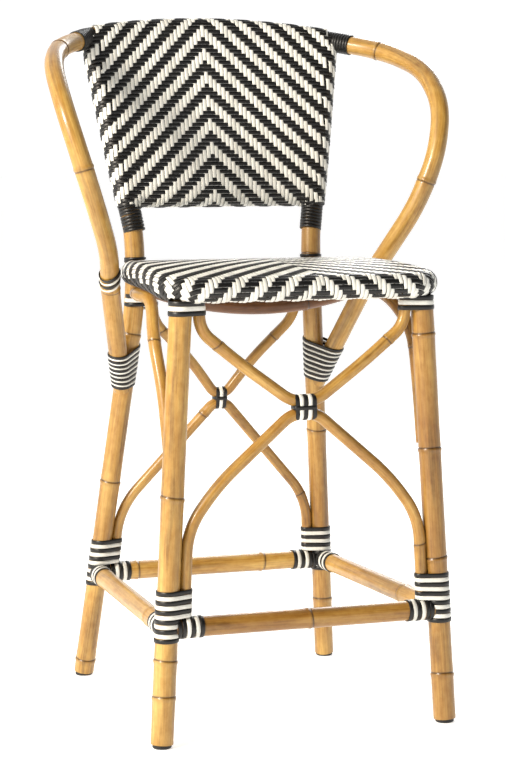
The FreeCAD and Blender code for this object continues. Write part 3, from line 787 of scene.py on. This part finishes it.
def seat_strands(along_y, settings, rng):
    """Guide lines of the white strands (along_y) or of the black strands of the seat."""
    column, row = settings.column_pitch / MM, settings.seat_row_pitch / MM
    outline, outward = seat_outline()
    rows = np.arange(-9, 61)
    rear, middle, phase = SEAT_PROFILE[0][0], 3, 3
    guides = []
    for index in (COLUMNS if along_y else rows):
        across, back = (index, rows) if along_y else (COLUMNS, index)
        on_top = over(across, back, middle, phase) == along_y
        lift = undulation(on_top, settings.strand_thickness / MM, not along_y)
        flat = halfway(np.column_stack(np.broadcast_arrays(across * column, rear - back * row)))
        places, facing, past, away = on_seat(flat, lift, outline, outward)
        # White strands stop just under the side rails; black ones go right round, to be tucked in below
        turn = 1.75 + 1.45 * away[:, 1] ** 2 if along_y else 3.2 - 0.4 * away[:, 1] ** 2
        guides += kept_runs(places, facing, past < CLOTH_RADIUS * turn, rng)
    return guides


class STOOL_OT_woven_seat(bpy.types.Operator):
    """Weave the seat: flat strands, three over and three under, rolled round the rails"""
    bl_idname = "stool.woven_seat"
    bl_label = "Woven seat"

    def execute(self, context):
        weave("seat", seat_strands, 61, sizes().seat_row_pitch / MM - 0.55, 0.75)
        return {"FINISHED"}


def post_at(height):
    """Point on the right-hand post, beside the back panel."""
    return on_line(REAR_LEG[3:] if height > REAR_LEG[3][2] else REAR_LEG[2:], height)


PANEL_BOTTOM = 734.0
PANEL_RADIUS = REAR_LEG_RADIUS + 2.9     # from a post's centreline to the middle of the weave on it
TOP_ROLL = ARM_RADIUS + 2.9
BOTTOM_ROLL = LOWER_BACK_RAIL_RADIUS + 2.4
LOWEST_SHARE = -0.055                    # how far down the posts the weave goes, below the bottom rail


def on_back(across, share, lift):
    """Places points of the back's sheet. Across is the distance from the middle, in millimetres, at the
    panel's own height; share runs from 0 at the bottom rail to 1 at the top rail, and past both it rolls
    round the rails. Returns the places and the directions that face out of the sheet."""
    inner = np.clip(share, 0.0, 1.0)
    rise = TOP_RAIL[1][2] - TOP_RAIL[0][2]
    top = TOP_RAIL[1][2] - rise * (across / TOP_RAIL[2][0]) ** 2
    low = PANEL_BOTTOM + BOTTOM_ROLL
    # Beside a post the sheet runs straight on down it instead of turning under the bottom rail
    near_post = 1 - np.clip((post_at(low)[0] - np.abs(across)) / 22.0, 0.0, 1.0)
    height = low + (inner + np.clip(share, LOWEST_SHARE, 0.0) * near_post) * (top - low)
    post = np.array([post_at(h) for h in height])
    level = (height - LOWER_RAIL_MIDDLE[1]) / (TOP_RAIL[1][2] - LOWER_RAIL_MIDDLE[1])
    bow = LOWER_RAIL_MIDDLE[0] + level * (TOP_RAIL[1][1] - LOWER_RAIL_MIDDLE[0]) - post[:, 1]
    radius = PANEL_RADIUS
    side = np.sign(across)
    edge = np.minimum(np.abs(across), post[:, 0])
    past = np.maximum(np.abs(across) - post[:, 0], 0.0) / radius
    shape = 1 - (edge / post[:, 0]) ** 2
    centre = np.column_stack([side * edge, post[:, 1] + bow * shape, height])
    slope = np.where(past > 0, 0.0, -2 * bow * edge / post[:, 0] ** 2) * side
    facing = np.column_stack([slope + side * np.sin(past), -np.cos(past), np.zeros(len(past))])
    facing[:, 2] = 0.21 * np.cos(past)
    facing /= np.linalg.norm(facing, axis=1)[:, None]

    # Past the top or bottom the sheet turns about the rail
    over_top = np.maximum(share - 1.0, 0.0) * (top - low) / TOP_ROLL
    under = np.maximum(-share, 0.0) * (1 - near_post) * (top - low) / BOTTOM_ROLL
    turned = facing.copy()
    for angle, way in ((over_top, 1.0), (under, -1.0)):
        bent_over = angle > 0
        turned[bent_over] = (facing * np.cos(angle)[:, None]
                             + np.array([0.0, 0.0, way]) * np.sin(angle)[:, None])[bent_over]
    near_bottom = np.clip(1 - inner / 0.08, 0, 1) * (1 - near_post)
    near_top = np.clip(1 - (1 - inner) / 0.06, 0, 1)
    reach = radius + (BOTTOM_ROLL - radius) * near_bottom + (TOP_ROLL - radius) * near_top + lift
    places = centre + turned * reach[:, None]
    return places, turned


def back_strands(upright, settings, rng):
    """Guide lines of the white strands (upright) or of the black strands of the back."""
    column, row = settings.column_pitch / MM, settings.row_pitch / MM
    thickness = settings.strand_thickness / MM
    low = PANEL_BOTTOM + BOTTOM_ROLL
    span = TOP_RAIL[1][2] - low
    rows = np.arange(-9, int(span / row) + 8)
    shares = 1.0 - rows * row / span
    limits = np.array([post_at(height)[0] for height in low + np.clip(shares, 0, 1) * span])
    middle = -2
    guides = []
    if upright:
        share, limit = halfway(shares), halfway(limits)
        for index in COLUMNS:
            across = np.full(len(share), index * column)
            places, facing = on_back(across, share, undulation(over(index, rows, middle), thickness, False))
            inside = np.abs(across) < limit + PANEL_RADIUS * 1.75
            corner = (np.abs(across) > limit - 4) & ((share > 1.0) | (share < LOWEST_SHARE))
            guides += kept_runs(places, facing, inside & ~corner, rng)
        return guides
    across = halfway(COLUMNS * column)
    for index, share, limit in zip(rows, shares, limits):
        if not -BOTTOM_ROLL * 1.9 / span < share < 1.0 + TOP_ROLL * 1.9 / span:
            continue
        lift = undulation(~over(COLUMNS, index, middle), thickness, True)
        places, facing = on_back(across, np.full(len(across), share), lift)
        wrap = PANEL_RADIUS * 3.3 if LOWEST_SHARE <= share <= 1.0 else -2.0
        guides += kept_runs(places, facing, np.abs(across) < limit + wrap, rng)
    return guides


class STOOL_OT_woven_back(bpy.types.Operator):
    """Weave the back between its posts, rolled round the posts and the two rails"""
    bl_idname = "stool.woven_back"
    bl_label = "Woven back"

    def execute(self, context):
        weave("back", back_strands, 62, sizes().row_pitch / MM - 0.3, 0.72)
        return {"FINISHED"}


# ---------------------------------------------------------------- bindings

UP = (0.0, 0.0, 1.0)
LEGS_AND_RODS = (
    ("front", FRONT_LEG, FRONT_LEG_RADIUS, FRONT_ROD_RADIUS, front_plane),
    ("rear", REAR_LEG, REAR_LEG_RADIUS, REAR_ROD_RADIUS, rear_plane),
)


def turn_round(centre, radius, normal, lift, tilt, second=None, second_radius=0.0):
    """One closed turn round one pole, or pulled tight round two, in the plane square to normal. Tilt leans
    it a little out of that plane, as a hand-wound turn is. Returns its points and their outward ways."""
    normal = unit(np.asarray(normal, float))
    if second is None:
        side = unit(np.cross(normal, (0.3, 0.9, 0.1)))
        arcs = [(centre, radius + lift, a) for a in np.linspace(0, 2 * math.pi, 36, endpoint=False)]
    else:
        gap = second - centre
        gap = gap - normal * (gap @ normal)
        side = unit(gap)
        lean = math.acos((radius - second_radius) / np.linalg.norm(gap))
        arcs = [(centre, radius + lift, a) for a in np.linspace(lean, 2 * math.pi - lean, 24)]
        arcs += [(second, second_radius + lift, a) for a in np.linspace(-lean, lean, 16)]
    up = np.cross(normal, side)
    outward = np.array([side * math.cos(angle) + up * math.sin(angle) for _, _, angle in arcs])
    points = np.array([middle + way * reach for (middle, reach, _), way in zip(arcs, outward)])
    across = np.cross(normal, (0.2, 1.0, 0.3))
    return points + normal * ((points - centre) @ across)[:, None] * tilt, outward


def wind(name, slot, seed, turns, width, wobble, white_width=None, thickness=1.5, cinch=None):
    """Makes the turns of one binding; the black ones stand for its CAD node. A turn is its tint and what
    turn_round takes, without the tilt, so it ends in a second pole and its radius if it goes round two."""
    rng = np.random.default_rng(seed)
    guides = {"black": [], "white": []}
    for tint, centre, radius, normal, lift, *second in turns:
        tilt = float(rng.uniform(-wobble, wobble)) if wobble else 0.0
        points, outward = turn_round(centre, radius, normal, lift, tilt, *second)
        if name.endswith("_left"):
            points, outward = mirrored(points), mirrored(outward)
        guides[tint].append(guide(points, outward, closed=True, tone=float(rng.uniform(0, 1))))
    if cinch:
        guides["black"].append(guide(*cinch, closed=True, tone=float(rng.uniform(0, 1))))
    for tint, full_width in (("black", width), ("white", white_width or width)):
        if guides[tint]:
            piece = swept(f"{name}_turns_{tint}", guides[tint], full_width - sizes().turn_gap / MM, thickness,
                          8, 0.6, material_for(tint + " resin strand"))
            finished(piece, slot, *([name] if tint == "black" else []))


def wind_both(name, slot, seed, *rest, **more):
    """The same binding on the right and on the left."""
    wind(name + "_right", slot, seed, *rest, **more)
    wind(name + "_left", slot, seed + 1, *rest, **more)


class STOOL_OT_corner_bindings(bpy.types.Operator):
    """Bind each leg at the foot rails, and each rail's end, with black and white turns"""
    bl_idname = "stool.corner_bindings"
    bl_label = "Corner and rail bindings"

    def execute(self, context):
        low, high, count = 147.0, 219.0, 11
        pitch = (high - low) / count
        for place, leg, radius, rod_radius, plane in LEGS_AND_RODS:
            rod = np.array([plane(x, z) for x, z in ROD_CORNERS[place + "_brace_lower"][:2]])
            turns = []
            for index in range(count):
                height = low + (index + 0.5) * pitch
                over_rail = height > FOOT_RAIL_HEIGHT + FOOT_RAIL_RADIUS + 2
                second = (on_line(rod, height), rod_radius) if over_rail else ()
                tint = "white" if index % 2 else "black"
                turns.append((tint, on_line(leg, height), radius, UP, 1.0, *second))
            wind_both(place + "_corner_binding", "striped_binding", 71, turns, pitch, 0.02)
        self.bind_rails()
        return {"FINISHED"}

    def bind_rails(self):
        front, rear = on_line(FRONT_LEG, FOOT_RAIL_HEIGHT), on_line(REAR_LEG, FOOT_RAIL_HEIGHT)
        start, pitch = 12.0, 6.5
        pattern = ("black", "black", "white", "black", "white", "black")
        inwards = np.array([-1.0, 0.0, 0.0])
        for name, joint, way in (
            ("front_rail_binding", front, inwards), ("rear_rail_binding", rear, inwards),
            ("side_rail_front_binding", front, unit(rear - front)),
            ("side_rail_rear_binding", rear, unit(front - rear)),
        ):
            turns = [(tint, joint + way * (start + (index + 0.5) * pitch), FOOT_RAIL_RADIUS, way, 0.9)
                     for index, tint in enumerate(pattern)]
            wind_both(name, "striped_binding", 81, turns, pitch, 0.03)


class STOOL_OT_seat_bindings(bpy.types.Operator):
    """Bind the rods to the legs under the seat, the arms' feet to the rear legs and the arms to the seat"""
    bl_idname = "stool.seat_bindings"
    bl_label = "Bindings at the seat"

    def execute(self, context):
        pattern = ("black", "white", "black")
        ends = {"front": (596.0, 617.0), "rear": (584.0, 603.0)}
        for place, leg, radius, rod_radius, plane in LEGS_AND_RODS:
            low, high = ends[place]
            rod = np.array([plane(x, z) for x, z in ROD_CORNERS[place + "_brace_upper"][:2]])
            pitch = (high - low) / len(pattern)
            heights = [low + (index + 0.5) * pitch for index in range(len(pattern))]
            turns = [(tint, on_line(leg, z), radius, UP, 0.9, on_line(rod, z), rod_radius)
                     for tint, z in zip(pattern, heights)]
            wind_both(place + "_seat_binding", "striped_binding", 91, turns, pitch, 0.02)
        self.bind_arm_feet()
        self.tie_arms()
        return {"FINISHED"}

    def bind_arm_feet(self):
        """Turns pulled tight round a rear leg and the arm's foot, square to the line between the two."""
        leg_way, arm_way = unit(REAR_LEG[1] - REAR_LEG[0]), unit(ARM[-2] - ARM[-1])
        normal = unit(leg_way + arm_way)
        leg_radius, arm_radius = REAR_LEG_RADIUS / (leg_way @ normal), ARM_RADIUS / (arm_way @ normal)
        wide, narrow, height, count = 5.0, 3.2, 464.0, 15
        turns = []
        for index in range(count):
            tint, width = ("white", narrow) if index % 2 else ("black", wide)
            centre = on_line(REAR_LEG, height + width / 2)
            foot = ARM[-1] + arm_way * (((centre - ARM[-1]) @ normal) / (arm_way @ normal))
            turns.append((tint, centre, leg_radius, normal, 1.0, foot, arm_radius))
            height += width
        wind_both("arm_foot_binding", "striped_binding", 97, turns, wide, 0.02, white_width=narrow)

    def tie_arms(self):
        """Four turns round each arm where it passes the seat's edge, leant towards the seat."""
        low, high = ARM[6], ARM[7]
        normal = unit(unit(high - low) + np.array([-0.45, 0.0, 0.0]))
        turns = [(tint, low + (high - low) * share, ARM_RADIUS + 0.8, normal, 0.9)
                 for tint, share in (("black", 0.62), ("white", 0.72), ("black", 0.82), ("white", 0.92))]
        wind_both("arm_seat_binding", "striped_binding", 95, turns, 7.4, 0.0, white_width=4.6)


class STOOL_OT_post_bindings(bpy.types.Operator):
    """Bind the back's top corners and its posts with black turns"""
    bl_idname = "stool.post_bindings"
    bl_label = "Black bindings"

    def execute(self, context):
        corner = top_corner_line()
        tangents = directions(corner)
        along = distances(corner)
        start, pitch, count = 31.5, 4.9, 9
        corner_turns = []
        for at in start + pitch * np.arange(count):
            centre, normal = (np.array([np.interp(at, along, values[:, i]) for i in range(3)])
                              for values in (corner, tangents))
            corner_turns.append(("black", centre, ARM_RADIUS, normal, 1.0))
        self.bind("top_corner_binding", corner_turns, 5.2)
        below_panel = line((142.0, 136.7, 696.5), (149.5, 146.1, 741.0))
        above_seat = line((142.0, 134.8, 649.6), (142.0, 135.2, 658.4))
        self.bind("panel_post_binding", self.on_post(below_panel, 9), 5.1)
        self.bind("post_seat_binding", self.on_post(above_seat, 2), 4.4)
        return {"FINISHED"}

    def on_post(self, run, count):
        """Equal turns along a run of the post."""
        low, high = run
        return [("black", low + (high - low) * (i + 0.5) / count, REAR_LEG_RADIUS, high - low, 1.0)
                for i in range(count)]

    def bind(self, name, turns, width):
        wind_both(name, "black_binding", 101, turns, width, 0.03, thickness=1.8)


class STOOL_OT_brace_ties(bpy.types.Operator):
    """Tie the two rods of each X together where they touch"""
    bl_idname = "stool.brace_ties"
    bl_label = "Ties of the rods"

    def execute(self, context):
        across, depth = np.array([1.0, 0.0, 0.0]), np.array([0.0, -1.0, 0.0])
        ties = {"front": (FRONT_TIE_HEIGHT, 16.0, 5), "rear": (REAR_TIE_HEIGHT, 9.0, 3)}
        for place, _, _, rod, plane in LEGS_AND_RODS:
            height, half, count = ties[place]
            pitch = 2 * half / count
            turns = []
            for index in range(count):
                x = -half + (index + 0.5) * pitch
                turns.append(("white" if index % 2 else "black", plane(x, height + rod), rod, across, 0.9,
                              plane(x, height - rod), rod))
            # The cinch passes between the rods, across the turns
            loop, outward = [], []
            for angle in np.linspace(0, 2 * math.pi, 40, endpoint=False):
                c, s = math.cos(angle), math.sin(angle)
                x = math.copysign(abs(c) ** 0.35, c) * (half + 0.8)
                y = math.copysign(abs(s) ** 0.35, s) * (rod + 1.9)
                loop.append(plane(0.0, height) + across * x + depth * y)
                outward.append(unit(across * c * 0.4 + depth * s))
            wind(place + "_brace_tie", "striped_binding", 111, turns, pitch, 0.04,
                 cinch=(np.array(loop), np.array(outward)))
        return {"FINISHED"}


class STOOL_OT_small_parts(bpy.types.Operator):
    """Give the glides, dowels and screws their materials"""
    bl_idname = "stool.small_parts"
    bl_label = "Glides, dowels and screws"

    def execute(self, context):
        for name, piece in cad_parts.items():
            if name.endswith(("glide_left", "glide_right")):
                finish = "moulded polypropylene"
            elif name == "foot_rail_dowels":
                finish = "turned beech"
            elif name.endswith("screws"):
                finish = "zinc plated steel"
            else:
                continue
            piece.data.materials.clear()
            piece.data.materials.append(material_for(finish))
        return {"FINISHED"}


# ---------------------------------------------------------------- stage

def area_light(name, place, target, size, power, tint):
    data = bpy.data.lights.new(name, "AREA")
    data.shape = "RECTANGLE"
    data.size, data.size_y = size
    data.energy = power
    data.color = linear(tint)
    lamp = bpy.data.objects.new(name, data)
    lamp.location = place
    lamp.rotation_euler = (Vector(target) - Vector(place)).to_track_quat("-Z", "Y").to_euler()
    bpy.context.scene.collection.objects.link(lamp)


class STOOL_OT_stage(bpy.types.Operator):
    """Make the white floor, the white horizon, the soft studio lights and the camera"""
    bl_idname = "stool.stage"
    bl_label = "Stage"

    def execute(self, context):
        half = 40.0
        mesh = bpy.data.meshes.new("studio_floor")
        mesh.from_pydata([(-half, -half, 0), (half, -half, 0), (half, half, 0), (-half, half, 0)], [],
                         [(0, 1, 2, 3)])
        floor = bpy.data.objects.new("studio_floor", mesh)
        context.scene.collection.objects.link(floor)
        mesh.materials.append(self.floor_material())
        context.scene.world = self.make_world()
        area_light("key", (-3.3, -1.4, 2.2), (0, 0, 0.6), (0.9, 0.9), 215, "#FFF4E4")
        area_light("rim", (1.8, 3.0, 2.2), (0, 0, 0.7), (1.6, 1.4), 60, "#FFFFFF")
        context.scene.view_settings.view_transform = "Standard"
        self.make_camera(context)
        return {"FINISHED"}

    def floor_material(self):
        """White acrylic table, lit from below, with a barely visible matt grain."""
        material, tree = new_material("backlit white acrylic")
        grain = noise(tree, add(tree, "ShaderNodeTexCoord").outputs["Object"], [900.0] * 3, 2.0)
        surface(tree, Base_Color=ramp(tree, grain, (0.3, linear("#F3F2F0")), (0.7, tuple(colours().floor))),
                Roughness=0.8, Emission_Color=(1.0, 1.0, 1.0, 1.0), Emission_Strength=0.52)
        return material

    def make_world(self):
        """A white backdrop behind the stool, a white horizon all round, and a dim room above and in front."""
        world = bpy.data.worlds.new("studio")
        world.use_nodes = True
        tree = world.node_tree
        sky = add(tree, "ShaderNodeTexCoord").outputs["Generated"]
        way = add(tree, "ShaderNodeSeparateXYZ", {0: sky}).outputs
        white, dim = 1.08, 0.05

        def fade(value, start, end, first, last):
            limits = {"From Min": start, "From Max": end, "To Min": first, "To Max": last}
            return add(tree, "ShaderNodeMapRange", {"Value": value, **limits},
                       interpolation_type="SMOOTHSTEP")

        backdrop, horizon = fade(way["Y"], -0.4, 0.7, dim, white), fade(way["Z"], 0.1, 0.28, white, 0.0)
        level = add(tree, "ShaderNodeMath", {0: backdrop, 1: horizon}, operation="MAXIMUM")
        background = tree.nodes["Background"]
        background.inputs["Color"].default_value = (1.0, 1.0, 1.0, 1.0)
        tree.links.new(level.outputs[0], background.inputs["Strength"])
        return world

    def make_camera(self, context):
        """Low view from the front left, with a long lens."""
        yaw, pitch = math.radians(19.8), math.radians(4.7)
        ahead = Vector((math.sin(yaw) * math.cos(pitch), math.cos(yaw) * math.cos(pitch), -math.sin(pitch)))
        data = bpy.data.cameras.new("camera")
        data.lens, data.sensor_width, data.clip_end = 108.3, 36.0, 50.0
        data.shift_x, data.shift_y = -0.0355, -0.0817
        camera = bpy.data.objects.new("camera", data)
        camera.location = (-1.1197, -3.2302, 0.8482)
        camera.rotation_euler = ahead.to_track_quat("-Z", "Y").to_euler()
        context.scene.collection.objects.link(camera)
        context.scene.camera = camera


# ---------------------------------------------------------------- panel and registration

OPERATORS = (
    STOOL_OT_legs, STOOL_OT_arms, STOOL_OT_seat_frame, STOOL_OT_foot_rails, STOOL_OT_rods,
    STOOL_OT_woven_seat, STOOL_OT_woven_back, STOOL_OT_corner_bindings, STOOL_OT_seat_bindings,
    STOOL_OT_post_bindings, STOOL_OT_brace_ties, STOOL_OT_small_parts, STOOL_OT_stage,
)


class STOOL_PT_panel(bpy.types.Panel):
    """The stool's pieces, in the order they are made"""
    bl_idname = "STOOL_PT_panel"
    bl_label = "Rattan bar stool"
    bl_space_type = "VIEW_3D"
    bl_region_type = "UI"
    bl_category = "Stool"

    def draw(self, context):
        for group in (context.scene.stool_sizes, context.scene.stool_colours):
            for name in group.bl_rna.properties.keys():
                if name not in ("rna_type", "name"):
                    self.layout.prop(group, name)
        for operator in OPERATORS:
            self.layout.operator(operator.bl_idname)


CLASSES = (StoolSizes, StoolColours, *OPERATORS, STOOL_PT_panel)


def register():
    for cls in CLASSES:
        bpy.utils.register_class(cls)
    bpy.types.Scene.stool_sizes = bpy.props.PointerProperty(type=StoolSizes)
    bpy.types.Scene.stool_colours = bpy.props.PointerProperty(type=StoolColours)


def unregister():
    del bpy.types.Scene.stool_colours
    del bpy.types.Scene.stool_sizes
    for cls in reversed(CLASSES):
        bpy.utils.unregister_class(cls)


def main():
    register()
    for operator in OPERATORS:
        group, name = operator.bl_idname.split(".")
        getattr(getattr(bpy.ops, group), name)()


if __name__ == "__main__":
    main()
